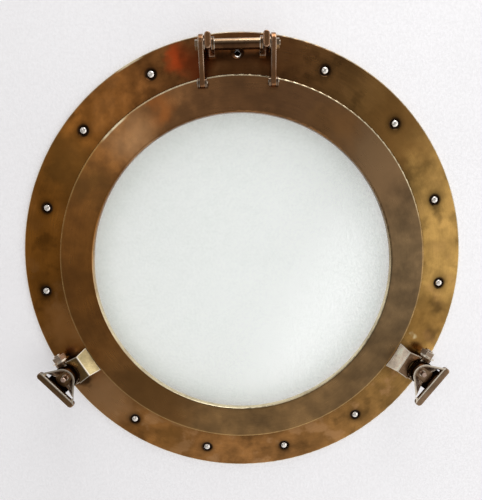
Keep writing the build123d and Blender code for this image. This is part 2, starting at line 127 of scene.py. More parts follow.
def maths(tree, operation, *values):
    """One sum, with up to three inputs."""
    node = add_node(tree, "ShaderNodeMath", [("operation", operation)])
    for place, value in zip(node.inputs, values):
        put(tree, value, place)
    return node.outputs[0]


def times(tree, first, second):
    """The product of two numbers."""
    return maths(tree, "MULTIPLY", first, second)


def plus(tree, first, second):
    """The sum of two numbers."""
    return maths(tree, "ADD", first, second)


def less(tree, first, second):
    """The first number less the second."""
    return maths(tree, "SUBTRACT", first, second)


def hypotenuse(tree, first, second):
    """The long side of a right triangle with two given sides."""
    squares = [maths(tree, "POWER", side, 2.0) for side in (first, second)]
    return maths(tree, "SQRT", plus(tree, *squares))


def reach_along(tree, first, second, way):
    """How far a pair of values reaches in a direction."""
    return plus(tree, times(tree, first, way[0]), times(tree, second, way[1]))


def step(tree, value, start, end, low=0.0, high=1.0):
    """A smooth step: low while the value is before start, high once it is past end."""
    node = add_node(tree, "ShaderNodeMapRange", [("interpolation_type", "SMOOTHSTEP")])
    limits = {"Value": value, "From Min": start, "From Max": end, "To Min": low, "To Max": high}
    for key, number in limits.items():
        put(tree, number, node.inputs[key])
    return node.outputs[0]


print("helpers for nodes and sums ready")

# %% helpers for patterns and colours
def noise(tree, vector, scale, detail=3.0, roughness=0.55):
    """A soft noise between 0 and 1."""
    return add_node(tree, "ShaderNodeTexNoise", Vector=vector, Scale=scale, Detail=detail,
                    Roughness=roughness).outputs[0]


def mix(tree, share, first, second):
    """A mix of two colours, by a share from 0 to 1. The node keeps its colours at inputs 6 and 7."""
    node = add_node(tree, "ShaderNodeMix", [("data_type", "RGBA")])
    put(tree, share, node.inputs[0])
    put(tree, first, node.inputs[6])
    put(tree, second, node.inputs[7])
    return node.outputs[2]


def dim(tree, colour, strength):
    """A colour times a number."""
    node = add_node(tree, "ShaderNodeVectorMath", [("operation", "SCALE")])
    put(tree, colour, node.inputs[0])
    put(tree, strength, node.inputs["Scale"])
    return node.outputs[0]


def add_up(tree, *colours):
    """The sum of several colours."""
    total = colours[0]
    for colour in colours[1:]:
        node = add_node(tree, "ShaderNodeVectorMath", [("operation", "ADD")])
        put(tree, total, node.inputs[0])
        put(tree, colour, node.inputs[1])
        total = node.outputs[0]
    return total


def bump(tree, height, strength, distance, normal=None):
    """A bumped normal from a height between 0 and 1, on top of a normal if one is given."""
    node = add_node(tree, "ShaderNodeBump", Strength=strength, Distance=distance, Height=height)
    if normal:
        put(tree, normal, node.inputs["Normal"])
    return node.outputs[0]


def new_material(name):
    """An empty material and its tree, with the output node."""
    material = bpy.data.materials.new(name)
    material.use_nodes = True
    tree = material.node_tree
    tree.nodes.clear()
    return material, tree, tree.nodes.new("ShaderNodeOutputMaterial")


def object_place(tree):
    """The place on the object, in metres, as a vector and as x, y and z."""
    place = add_node(tree, "ShaderNodeTexCoord").outputs["Object"]
    parts = add_node(tree, "ShaderNodeSeparateXYZ", Vector=place)
    return place, parts.outputs[0], parts.outputs[1], parts.outputs[2]


def spot_mask(tree, x, z, centre, inner, outer):
    """1 inside a round spot that is seen from the front, falling to 0 outside it."""
    distance = hypotenuse(tree, less(tree, x, centre[0]), less(tree, z, centre[1]))
    return step(tree, distance, outer, inner)


print("helpers for patterns and colours ready")

# %% [markdown]
# The stage
#
# The porthole hangs on a white plastered wall, so the wall is the stage: one large face just behind the
# ring. It keeps the soft shadows, and a part of its white is its own, so that it is pale without more
# light on the brass. That glow is painted lighter towards the right, and lighter again behind the glass
# at its lower right, as painted light. From behind, a wall would hide the object, so its back is
# see-through, and it isn't there at all for rays that start close to it, as those do from the ring's
# hollow back. Behind the empty screw hole at the top, a dark spot is painted on the wall as the shade of
# a pilot hole.

# %% wall face
WALL_GAP = 0.4 * MM
WALL_SIZE = 6.0

half = WALL_SIZE / 2
corners = [(-half, WALL_GAP, -half), (half, WALL_GAP, -half),
           (half, WALL_GAP, half), (-half, WALL_GAP, half)]
wall_mesh = bpy.data.meshes.new("wall")
wall_mesh.from_pydata(corners, [], [(0, 1, 2, 3)])
wall = bpy.data.objects.new("wall", wall_mesh)
bpy.context.scene.collection.objects.link(wall)
print("wall", WALL_SIZE, "m")

# %% plaster
SCREW_CIRCLE = 197.0 * MM
PILOT_HOLE = (4.5 * MM, 5 * MM)
BEHIND_GLASS = (150 * MM, 170 * MM)
SLANT = 0.6
PLASTER = (0.87, 0.86, 0.88)
PILOT_HOLE_SHADE = (0.004, 0.003, 0.003)
PALE_GLOW = (0.98, 0.97, 1.0)

plaster, tree, out = new_material("white_plaster")
place, x, y, z = object_place(tree)
grain = noise(tree, place, 420.0, detail=4.0)
clouds = noise(tree, place, 6.0, detail=2.0)
# Painted shade: a dark spot on the wall stands for the shade inside a pilot hole, and the glow leaves it out.
pilot = spot_mask(tree, x, z, (0.0, SCREW_CIRCLE), *PILOT_HOLE)
paint = add_node(tree, "ShaderNodeBsdfDiffuse", Color=mix(tree, pilot, PLASTER, PILOT_HOLE_SHADE),
                 Normal=bump(tree, grain, 0.35, 0.6 * MM))
# Painted light: the glow rises from left to right, and a painted pool of light lifts the wall behind the
# glass, most at its lower right.
painted_light_to_right = step(tree, x, -0.25, 0.25, 0.24, 0.34)
glow_strength = times(tree, painted_light_to_right, step(tree, clouds, 0.3, 0.7, 0.96, 1.04))
painted_light_behind_glass = step(tree, less(tree, x, times(tree, z, SLANT)), 0.03, 0.13, 0.025, 0.15)
painted_light_behind_glass = times(tree, painted_light_behind_glass, spot_mask(tree, x, z, (0.0, 0.0), *BEHIND_GLASS))
glow_strength = plus(tree, glow_strength, painted_light_behind_glass)
glow_strength = times(tree, glow_strength, step(tree, grain, 0.36, 0.64, 0.90, 1.10))
glow_strength = times(tree, glow_strength, less(tree, 1.0, pilot))
glow = add_node(tree, "ShaderNodeEmission", Color=PALE_GLOW, Strength=glow_strength)
both = add_node(tree, "ShaderNodeAddShader")
put(tree, paint.outputs[0], both.inputs[0])
put(tree, glow.outputs[0], both.inputs[1])
print("plaster", PLASTER)

# %% where the wall shows
WALL_NEAR = 30 * MM

clear = add_node(tree, "ShaderNodeBsdfTransparent")
path = add_node(tree, "ShaderNodeLightPath")
geometry = add_node(tree, "ShaderNodeNewGeometry")
seen = maths(tree, "MAXIMUM", path.outputs["Is Camera Ray"], path.outputs["Is Glossy Ray"])
seen = maths(tree, "MAXIMUM", seen, path.outputs["Is Transmission Ray"])
front = less(tree, 1.0, geometry.outputs["Backfacing"])
far = maths(tree, "GREATER_THAN", path.outputs["Ray Length"], WALL_NEAR)
shown = times(tree, times(tree, seen, front), far)
wall_mix = add_node(tree, "ShaderNodeMixShader")
for place_in, value in zip(wall_mix.inputs, (shown, clear.outputs[0], both.outputs[0])):
    put(tree, value, place_in)
put(tree, wall_mix.outputs[0], out.inputs[0])
wall_mesh.materials.append(plaster)
print("wall shows to rays longer than", WALL_NEAR, "m")

# %% [markdown]
# The light
#
# Brass shows little but what it mirrors, so the room matters more than the lamps. In the photograph the
# room is dark where the viewer stands, bright to the right and below, and bright all round at the level
# of the wall. The world is that room, as soft patches of light in a few directions, and plain pale where
# the camera looks past the object. One large soft lamp stands above, and gives the wall its even light
# and its soft shadows.

# %% room
ROOM_DARK = 0.25
WALL_LEVEL = 0.8
PAST_OBJECT = 0.9
ROOM_WHITE = (1.0, 0.99, 0.97)
# Each window has a name, a direction, how close to it the light begins and is full, and a strength.
windows = (
    ("bright side of the room", (0.86, -0.51, 0.0), 0.75, 0.985, 1.0),
    ("pale floor", (0.25, -0.58, -0.78), 0.60, 0.97, 0.55),
    ("ceiling lamp", (-0.42, -0.80, 0.43), 0.91, 0.985, 0.75),
)

world = bpy.data.worlds.new("room")
bpy.context.scene.world = world
world.use_nodes = True
room = world.node_tree
room.nodes.clear()
direction = add_node(room, "ShaderNodeTexCoord").outputs["Generated"]
parts = add_node(room, "ShaderNodeSeparateXYZ", Vector=direction)
strength = step(room, parts.outputs[1], -0.4, -0.05, ROOM_DARK, WALL_LEVEL)
for name, way, begins, full, bright in windows:
    likeness = add_node(room, "ShaderNodeVectorMath", [("operation", "DOT_PRODUCT")])
    put(room, direction, likeness.inputs[0])
    likeness.inputs[1].default_value = Vector(way).normalized()
    strength = plus(room, strength, step(room, likeness.outputs["Value"], begins, full, 0.0, bright))
    print("window:", name, bright)
watched = add_node(room, "ShaderNodeLightPath").outputs["Is Camera Ray"]
strength = add_node(room, "ShaderNodeMapRange", Value=watched, To_Min=strength, To_Max=PAST_OBJECT).outputs[0]
background = add_node(room, "ShaderNodeBackground", Color=ROOM_WHITE, Strength=strength)
room_out = room.nodes.new("ShaderNodeOutputWorld")
put(room, background.outputs[0], room_out.inputs[0])

# %% lamp
LAMP_PLACE = (0.5, -0.40, 1.75)
LAMP_SIZE = 1.2
LAMP_WATTS = 15


def soft_lamp(name, place, size, watts):
    """A square lamp at a place, turned to the middle of the porthole."""
    data = bpy.data.lights.new(name, "AREA")
    data.size = size
    data.energy = watts
    lamp = bpy.data.objects.new(name, data)
    bpy.context.scene.collection.objects.link(lamp)
    lamp.location = place
    lamp.rotation_mode = "QUATERNION"
    lamp.rotation_quaternion = (-Vector(place)).to_track_quat("-Z", "Y")
    print(name, place, watts, "W")


soft_lamp("top_lamp", LAMP_PLACE, LAMP_SIZE, LAMP_WATTS)

# %% [markdown]
# A turned ring's own coordinates
#
# The two rings were turned on a lathe and polished while they spun. Scratches therefore run round the
# ring, and wear follows its edges. Radius and direction, worked out from the place on the object, let a
# pattern do the same: a noise that changes fast along the radius and slowly round it is brushing. They
# also give the normal of the true circle, so that a highlight runs round the ring in one line and not
# from facet to facet.

# %% ring coordinates
BRUSH_ACROSS = 1100.0
BRUSH_ROUND = 9.0
BANDS_ROUND = 6.0


def ring_place(tree):
    """Place, x and z, radius, and the share to the right and upward of the direction."""
    place, x, y, z = object_place(tree)
    radius = hypotenuse(tree, x, z)
    return place, x, z, radius, maths(tree, "DIVIDE", x, radius), maths(tree, "DIVIDE", z, radius)


def brushing(tree, radius, rightward, upward):
    """Fine streaks that run round the ring, between 0 and 1."""
    vector = add_node(tree, "ShaderNodeCombineXYZ")
    put(tree, times(tree, radius, BRUSH_ACROSS), vector.inputs[0])
    put(tree, times(tree, rightward, BRUSH_ROUND), vector.inputs[1])
    put(tree, times(tree, upward, BRUSH_ROUND), vector.inputs[2])
    return noise(tree, vector.outputs[0], 1.0, detail=2.0)


def turned_normal(tree, rightward, upward):
    """The normal of a true circle where the mesh has flat facets, and the share of the front in it."""
    normal = add_node(tree, "ShaderNodeTexCoord").outputs["Normal"]
    parts = add_node(tree, "ShaderNodeSeparateXYZ", Vector=normal).outputs
    outward = reach_along(tree, parts[0], parts[2], (rightward, upward))
    around = less(tree, times(tree, parts[0], upward), times(tree, parts[2], rightward))
    turned = add_node(tree, "ShaderNodeCombineXYZ", X=times(tree, rightward, outward), Y=parts[1],
                      Z=times(tree, upward, outward)).outputs[0]
    share = step(tree, maths(tree, "ABSOLUTE", around), 0.10, 0.06)
    to_world = [("vector_type", "NORMAL"), ("convert_from", "OBJECT"), ("convert_to", "WORLD")]
    smooth = add_node(tree, "ShaderNodeVectorTransform", to_world, Vector=mix(tree, share, normal, turned))
    return smooth.outputs[0], step(tree, parts[1], 0.1, -0.3)


def bands(tree, rightward, upward):
    """Soft bands that run straight out from the middle, between 0 and 1."""
    vector = add_node(tree, "ShaderNodeCombineXYZ", X=rightward, Y=upward).outputs[0]
    return noise(tree, vector, BANDS_ROUND, detail=2.0)


def round_tone_and_side_light(tree, tones, rightward, upward):
    """A colour that turns smoothly from one side's tone to the next round the ring; the tones are the
    patina's colour with painted light and shade on each side.
    """
    sides = (
        (tones["right"], rightward), (tones["left"], times(tree, rightward, -1.0)),
        (tones["top"], upward), (tones["bottom"], times(tree, upward, -1.0)),
    )
    return add_up(tree, *[
        dim(tree, tone, maths(tree, "POWER", maths(tree, "MAXIMUM", way, 0.0), 2.0)) for tone, way in sides
    ])


print("brushing:", BRUSH_ACROSS, "across and", BRUSH_ROUND, "round")

# %% [markdown]
# Aged brass on the rings
#
# Old brass isn't one colour. Its film of oxide is thicker in some places than in others, so it goes from
# gold to red brown in soft clouds, with darker mottling and stains, and rubbing leaves it bright along its
# edges. The dimples round the screws get no rubbing, and hold black polish. Each of these is a mask, and
# the colour is mixed from the bottom up: tone, partly painted light and shade on each side, clouds,
# mottling, bands, stains, pink patches, brushing, painted shade towards one radius, tints, among them a
# painted highlight and painted shade, black polish with painted shade and a painted highlight at the empty
# hole, and edge wear with painted highlights.

# %% dirt round the screws
SCREW_PLACES = 15
SCREW_STEP = 2 * math.pi / SCREW_PLACES
EMPTY_NUMBERS = (0, 5, 10)
EMPTY_ANGLES = [k * SCREW_STEP for k in EMPTY_NUMBERS]
EMPTY_PLACES = [(SCREW_CIRCLE * math.sin(a), SCREW_CIRCLE * math.cos(a)) for a in EMPTY_ANGLES]
EMPTY_HOLE_RIM = (0.4 * MM, SCREW_CIRCLE - 0.9 * MM)
RIM_LIGHT = (0.95, 0.90, 0.82)
# A near black: the black polish in the screw dimples, and also painted shade in the empty hole, round the
# dogs on the flange and on the dogs round their nuts.
GRIME_AND_SHADE = (0.017, 0.008, 0.004)
NO_SCREW = (9 * MM, 10 * MM)
HALO = (12 * MM, 5.0 * MM)
DIMPLE = (7.4 * MM, 4.2 * MM)
COUNTERSINK = (6.0 * MM, 7.0 * MM)
RIM_SPOT = (2.5 * MM, 3.0 * MM)
HOLE_SPOT = (2.7 * MM, 3.2 * MM)


def screw_distance(tree, x, z, radius):
    """How far a place is from the nearest of the 15 places on the screw circle."""
    turn = maths(tree, "DIVIDE", maths(tree, "ARCTAN2", x, z), SCREW_STEP)
    off = times(tree, less(tree, turn, maths(tree, "ROUND", turn)), SCREW_STEP * SCREW_CIRCLE)
    return hypotenuse(tree, off, less(tree, radius, SCREW_CIRCLE))


def screw_dirt_and_painted_hole(tree, colour, x, z, radius, front):
    """A colour with black polish round the screws and a darker empty countersink, with painted shade in the
    empty hole and a painted highlight on its lower rim.
    """
    distance = screw_distance(tree, x, z, radius)
    for centre in EMPTY_PLACES:
        empty = spot_mask(tree, x, z, centre, *NO_SCREW)
        distance = plus(tree, distance, times(tree, empty, NO_SCREW[1]))
    halo = times(tree, step(tree, distance, *HALO, 0.0, 0.6), front)
    colour = mix(tree, halo, colour, dim(tree, colour, 0.3))
    dimple = times(tree, step(tree, distance, *DIMPLE), front)
    colour = mix(tree, dimple, colour, GRIME_AND_SHADE)
    countersink = spot_mask(tree, x, z, EMPTY_PLACES[0], *COUNTERSINK)
    colour = mix(tree, countersink, colour, dim(tree, colour, 0.35))
    # Painted highlight: a bright crescent on the empty hole's lower rim.
    rim = times(tree, spot_mask(tree, x, z, EMPTY_HOLE_RIM, *RIM_SPOT), front)
    colour = mix(tree, rim, colour, RIM_LIGHT)
    # Painted shade: the empty hole is painted near black.
    hole = spot_mask(tree, x, z, EMPTY_PLACES[0], *HOLE_SPOT)
    return mix(tree, hole, colour, GRIME_AND_SHADE)


print("empty places on the screw circle:", len(EMPTY_PLACES))

# %% aged ring brass
# Edge wear, and the painted highlight where an edge turns towards its direction.
WORN_EDGE_AND_HIGHLIGHT = (0.86, 0.74, 0.50)
TAN_EDGE = (0.60, 0.37, 0.13)
CLOUD_SCALE = 17.0
STAIN_SCALE = 38.0
MOTTLING_SCALE = 70.0
WANDER_SCALE = 30.0
WANDER = 50 * MM
SHADE_WIDTH = 13 * MM


def worn_edges_and_highlights(tree, colour, edges, radius, rightward, upward, mottling):
    """A colour with edge wear and painted highlights, each between two radii and most towards one direction,
    where the colour turns from tan to bright.
    """
    for start, end, way, limits, (least, most) in edges:
        towards = reach_along(tree, rightward, upward, way)
        wear_and_highlight = times(tree, step(tree, radius, start, end), step(tree, mottling, 0.3, 0.6, 0.55, 0.95))
        wear_and_highlight = times(tree, wear_and_highlight, step(tree, towards, *limits, least, most))
        edge = mix(tree, step(tree, towards, *limits), TAN_EDGE, WORN_EDGE_AND_HIGHLIGHT)
        colour = mix(tree, wear_and_highlight, colour, edge)
    return colour


def ring_brass(name, tones, edges, roughness, shaded, tints=(), patches=None, screws=False, coat=0.0):
    """Aged brass for a turned ring.

    Shaded is a radius that the colour darkens towards, as painted shade. Tints are soft spots with outlines
    that wander, among them a painted highlight and painted shade.
    Patches is a colour that shows between the stains, mostly low on the ring.
    """
    material, tree, out = new_material(name)
    place, x, z, radius, rightward, upward = ring_place(tree)
    normal, front = turned_normal(tree, rightward, upward)
    clouds = noise(tree, place, CLOUD_SCALE, detail=3.0)
    mottling = noise(tree, place, MOTTLING_SCALE, detail=4.0, roughness=0.6)
    stains = noise(tree, place, STAIN_SCALE, detail=4.0, roughness=0.6)
    streaks = brushing(tree, radius, rightward, upward)
    colour = round_tone_and_side_light(tree, tones, rightward, upward)
    colour = dim(tree, colour, step(tree, clouds, 0.3, 0.72, 0.76, 1.26))
    colour = dim(tree, colour, step(tree, mottling, 0.30, 0.70, 0.84, 1.13))
    colour = dim(tree, colour, step(tree, bands(tree, rightward, upward), 0.3, 0.7, 0.93, 1.07))
    colour = dim(tree, colour, step(tree, stains, 0.50, 0.68, 1.04, 0.65 if patches else 0.86))
    if patches:
        share = times(tree, step(tree, stains, 0.47, 0.34), step(tree, upward, 0.2, -0.5, 0.1, 1.0))
        colour = mix(tree, times(tree, share, 0.5), colour, patches)
    colour = dim(tree, colour, step(tree, streaks, 0.25, 0.75, 0.94, 1.06))
    # Painted shade: the colour darkens towards the shaded radius, where the frame meets the sash and where
    # the sash meets the glass.
    colour = dim(tree, colour, step(tree, radius, shaded, shaded + SHADE_WIDTH, 0.74, 1.03))
    wander = times(tree, less(tree, noise(tree, place, WANDER_SCALE), 0.5), WANDER)
    warped_x = plus(tree, x, wander)
    warped_z = less(tree, z, wander)
    for tint, centre, inner, outer, most in tints:
        spot = times(tree, spot_mask(tree, warped_x, warped_z, centre, inner, outer), most)
        colour = mix(tree, times(tree, spot, front), colour, tint)
    if screws:
        colour = screw_dirt_and_painted_hole(tree, colour, x, z, radius, front)
    colour = worn_edges_and_highlights(tree, colour, edges, radius, rightward, upward, mottling)
    shine = plus(tree, step(tree, mottling, 0.3, 0.7, roughness + 0.06, roughness - 0.05),
                 step(tree, streaks, 0.25, 0.75, -0.02, 0.02))
    shader = add_node(tree, "ShaderNodeBsdfPrincipled", Base_Color=colour, Metallic=1.0, Roughness=shine,
                      Coat_Weight=coat, Coat_Roughness=0.4,
                      Normal=bump(tree, mottling, 0.04, 0.3 * MM, normal))
    put(tree, shader.outputs[0], out.inputs[0])
    print(name, "roughness", roughness)
    return material


print("edges wear from", TAN_EDGE, "to", WORN_EDGE_AND_HIGHLIGHT)

# %% frame ring
finishes = {}
RING_ROUGHNESS = 0.32
OUTER_RADIUS = cad_box[1].x
SASH_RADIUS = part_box("sash_ring")[1][0]
DENT_HIGHLIGHT = (0.95, 0.82, 0.50)
RED_FILM = (0.42, 0.058, 0.012)
DEEP_RED = (0.12, 0.020, 0.005)
PINK_FILM = (0.50, 0.27, 0.12)
OLIVE = (0.16, 0.075, 0.016)
DARK_SMUDGE = (0.055, 0.030, 0.010)
BROWN_FILM = (0.21, 0.10, 0.027)
TAN_FILM = (0.48, 0.21, 0.06)
OLD_FILM = (0.16, 0.07, 0.015)
# Each side's tone is the patina's colour with painted light and shade: on the frame, the top is painted dark.
frame_tones = {"right": (0.37, 0.220, 0.065), "left": (0.35, 0.132, 0.020),
               "top": (0.15, 0.060, 0.020), "bottom": (0.31, 0.142, 0.044)}
# An edge: its two radii, a direction, the limits of likeness to it, and the least and most wear. Where the
# wear is limited to a direction, it is partly a painted highlight.
frame_edges = [
    (OUTER_RADIUS - 1.6 * MM, OUTER_RADIUS - 0.6 * MM, (0.0, 1.0), (-2.0, -1.5), (0.7, 0.7)),
    # Painted highlight: a short bright arc on the rim's edge, up and to the left.
    (OUTER_RADIUS - 3.0 * MM, OUTER_RADIUS - 1.4 * MM, (-0.465, 0.885), (0.9965, 0.9995), (0.0, 1.0)),
]
# A tint: its colour, its middle, the radius where it is full and where it ends, and its strength.
frame_tints = [
    # Painted highlight: a small bright glint, as from a dent.
    (DENT_HIGHLIGHT, (0.171, -0.0725), 0.5 * MM, 3.5 * MM, 0.75),
    (BROWN_FILM, (0.14, 0.13), 10 * MM, 60 * MM, 0.8),
    (TAN_FILM, (-0.18, -0.06), 8 * MM, 36 * MM, 0.8),
    (OLD_FILM, (-0.165, 0.10), 10 * MM, 42 * MM, 0.8),
    (RED_FILM, (-0.056, 0.192), 2 * MM, 18 * MM, 0.9),
    (DEEP_RED, (-0.040, 0.186), 4 * MM, 20 * MM, 0.8),
    (PINK_FILM, (-0.150, -0.128), 8 * MM, 55 * MM, 0.75),
    (OLIVE, (-0.080, -0.180), 4 * MM, 34 * MM, 0.5),
    (OLIVE, (0.186, -0.060), 8 * MM, 44 * MM, 0.6),
    (DARK_SMUDGE, (0.192, 0.046), 1 * MM, 9 * MM, 0.5),
    (DARK_SMUDGE, (0.196, -0.046), 1 * MM, 12 * MM, 0.7),
    (DARK_SMUDGE, (0.194, -0.074), 1 * MM, 14 * MM, 0.6),
    (DARK_SMUDGE, (-0.172, -0.092), 1 * MM, 12 * MM, 0.6),
    # Painted shade: dark round each dog's axis on the flange.
    (GRIME_AND_SHADE, (-0.176, -0.104), 9 * MM, 17 * MM, 0.8),
    (GRIME_AND_SHADE, (0.175, -0.106), 9 * MM, 17 * MM, 0.8),
]
finishes["frame_ring"] = ring_brass("frame_ring_brass", frame_tones, frame_edges, RING_ROUGHNESS, SASH_RADIUS,
                                    tints=frame_tints, patches=PINK_FILM, screws=True)

# %% sash ring
LIP_RADIUS = 142.8 * MM
LIP_SHADE = LIP_RADIUS - 6 * MM
ORANGE_FILM = (0.34, 0.10, 0.016)
HAZE = (0.26, 0.15, 0.068)
WARM_FILM = (0.28, 0.13, 0.04)
# Each side's tone is the patina's colour with painted light and shade: on the sash, the right is painted dark
# and the left light.
sash_tones = {"right": (0.140, 0.087, 0.040), "left": (0.29, 0.112, 0.020),
              "top": (0.20, 0.090, 0.032), "bottom": (0.21, 0.116, 0.042)}
sash_edges = [
    # Wear with a painted highlight that is strongest at the top right.
    (SASH_RADIUS - 1.9 * MM, SASH_RADIUS - 1.1 * MM, (0.34, 0.94), (0.45, 0.78), (0.6, 1.0)),
    # Painted highlight: a short bright arc on the sash's edge, up and to the left.
    (SASH_RADIUS - 3.0 * MM, SASH_RADIUS - 1.5 * MM, (-0.660, 0.751), (0.9935, 0.999), (0.0, 1.0)),
    # Wear with a painted highlight along the lower part of the lip, where it faces up.
    (LIP_RADIUS + 1.2 * MM, LIP_RADIUS + 0.3 * MM, (0.0, -1.0), (-0.5, 0.4), (0.0, 1.0)),
]
sash_tints = [
    (WARM_FILM, (0.09, 0.13), 8 * MM, 34 * MM, 0.8),
    (OLD_FILM, (-0.14, 0.08), 8 * MM, 32 * MM, 0.8),
    (OLD_FILM, (-0.09, -0.13), 15 * MM, 60 * MM, 0.8),
    (ORANGE_FILM, (-0.072, 0.146), 2 * MM, 22 * MM, 0.6),
    (PINK_FILM, (-0.10, 0.125), 4 * MM, 36 * MM, 0.6),
    (HAZE, (0.130, 0.095), 8 * MM, 52 * MM, 0.85),
]
finishes["sash_ring"] = ring_brass("sash_ring_brass", sash_tones, sash_edges, RING_ROUGHNESS, LIP_SHADE,
                                   tints=sash_tints, coat=0.2)

# %% [markdown]
# Handled castings
#
# The hinge and the dogs are small castings that hands touch. Their flats keep a dull brown film, and
# every edge is bright from rubbing. Ambient occlusion finds those edges when it looks into the body
# instead of out of it: close to an edge the next face is near, on a flat it isn't. That works on any
# mesh, with rounded edges too, and needs no painting. Some castings also have a part painted lighter, as a
# highlight on the hinge tube's top and a sheen on the clamps' legs, a straight edge with a painted
# highlight, a place painted dark as shade round the dogs' nuts and on the swing bolts behind their tips,
# or an end where nobody reaches and the edges stay dull.

# %% handled brass
LINE_WIDTH = (0.9 * MM, 0.4 * MM)
LINE_BACK = 0.5 * MM
CAST_CLOUD_SCALE = 60.0
PIT_SCALE = 380.0


def edge_wear(tree, reach):
    """1 along outer edges, 0 on the flats."""
    settings = [("samples", 12), ("inside", True), ("only_local", True)]
    inside = add_node(tree, "ShaderNodeAmbientOcclusion", settings, Distance=reach)
    return step(tree, inside.outputs["AO"], 0.92, 0.66)


def handled_brass(name, film, bright, roughness, reach, wear=0.9, lighter=None, line=None, shade_spot=None,
                  faded=None):
    """Cast brass with a brown film on its flats and bright edges.

    The lighter part gives a colour and where it lies: a painted highlight on the hinge tube's top, a
    painted sheen with wear on the clamps' legs, and the swing bolts' lighter tips. Line is a straight edge
    that gets wear and a painted highlight: its direction seen from the middle, its distance and how far
    back it reaches. The shade spot is a round place and a depth that are painted dark, as shade. Faded is a
    way and its limits, between which the wear of the edges sets in.
    """
    material, tree, out = new_material(name)
    place, x, y, z = object_place(tree)
    ways = {"radius": hypotenuse(tree, x, z), "height": z, "depth": y}
    clouds = noise(tree, place, CAST_CLOUD_SCALE, detail=3.0)
    pits = noise(tree, place, PIT_SCALE, detail=3.0)
    colour = film
    if lighter:
        colour = mix(tree, step(tree, ways[lighter[1]], *lighter[2:]), film, lighter[0])
    colour = dim(tree, colour, step(tree, clouds, 0.3, 0.7, 0.75, 1.25))
    colour = dim(tree, colour, step(tree, pits, 0.3, 0.7, 0.9, 1.08))
    wear_and_highlight = edge_wear(tree, reach)
    if line:
        way, distance, back = line
        off = maths(tree, "ABSOLUTE", less(tree, reach_along(tree, x, z, way), distance))
        near = times(tree, step(tree, off, *LINE_WIDTH), step(tree, y, back + LINE_BACK, back))
        wear_and_highlight = maths(tree, "MAXIMUM", wear_and_highlight, near)
    if faded:
        wear_and_highlight = times(tree, wear_and_highlight, step(tree, ways[faded[0]], *faded[1:]))
    wear_and_highlight = times(tree, wear_and_highlight, step(tree, pits, 0.25, 0.55, 0.75 * wear, wear))
    colour = mix(tree, wear_and_highlight, colour, bright)
    # Painted shade: a round place at some depths is painted near black.
    if shade_spot:
        axis, inner, outer, start, end = shade_spot
        painted_shade = times(tree, spot_mask(tree, x, z, axis, inner, outer), step(tree, y, start, end))
        colour = mix(tree, painted_shade, colour, GRIME_AND_SHADE)
    shine = less(tree, step(tree, clouds, 0.3, 0.7, roughness + 0.05, roughness - 0.05),
                 times(tree, wear_and_highlight, 0.06))
    shader = add_node(tree, "ShaderNodeBsdfPrincipled", Base_Color=colour, Metallic=1.0, Roughness=shine,
                      Normal=bump(tree, pits, 0.06, 0.1 * MM))
    put(tree, shader.outputs[0], out.inputs[0])
    print(name, "roughness", roughness)
    return material


print("a rubbed line fades out at", LINE_WIDTH[0], "m")

# %% hinge finishes
CREAM = (0.92, 0.83, 0.70)
HINGE_AXIS = 201.0 * MM
HINGE_FILM = (0.28, 0.135, 0.062)
TUBE_FILM = (0.09, 0.042, 0.019)
TUBE_LIGHT = (0.64, 0.43, 0.26)
SMALL_FILM = (0.13, 0.070, 0.034)
FIXING_FILM = (0.27, 0.18, 0.11)
# Painted highlight: the top of the hinge tube is painted light, as if lit from above.
tube_top_highlight = (TUBE_LIGHT, "height", HINGE_AXIS - 1.0 * MM, HINGE_AXIS + 3.5 * MM)
toe = ("height", 174 * MM, 184 * MM)
finishes["hinge_brass"] = handled_brass("hinge_brass", HINGE_FILM, CREAM, 0.28, 1.4 * MM, faded=toe)
finishes["tube_brass"] = handled_brass("tube_brass", TUBE_FILM, CREAM, 0.25, 0.5 * MM, lighter=tube_top_highlight)
finishes["small_brass"] = handled_brass("small_brass", SMALL_FILM, CREAM, 0.26, 0.7 * MM, wear=0.35)
finishes["hinge_bolt"] = handled_brass("hinge_bolt_metal", FIXING_FILM, CREAM, 0.24, 0.5 * MM, wear=0.5)

# %% dog finishes
CLAMP_LEG_RADIUS = 184.5 * MM
NOTCH = (13.3 * MM, 14.0 * MM)
EVERY_DEPTH = (-1.0, -0.5)
OUTSIDE_CUP = (10.0 * MM, 9.0 * MM)
BAR_EDGE = 10.4 * MM
BAR_BACK = 1.2 * MM
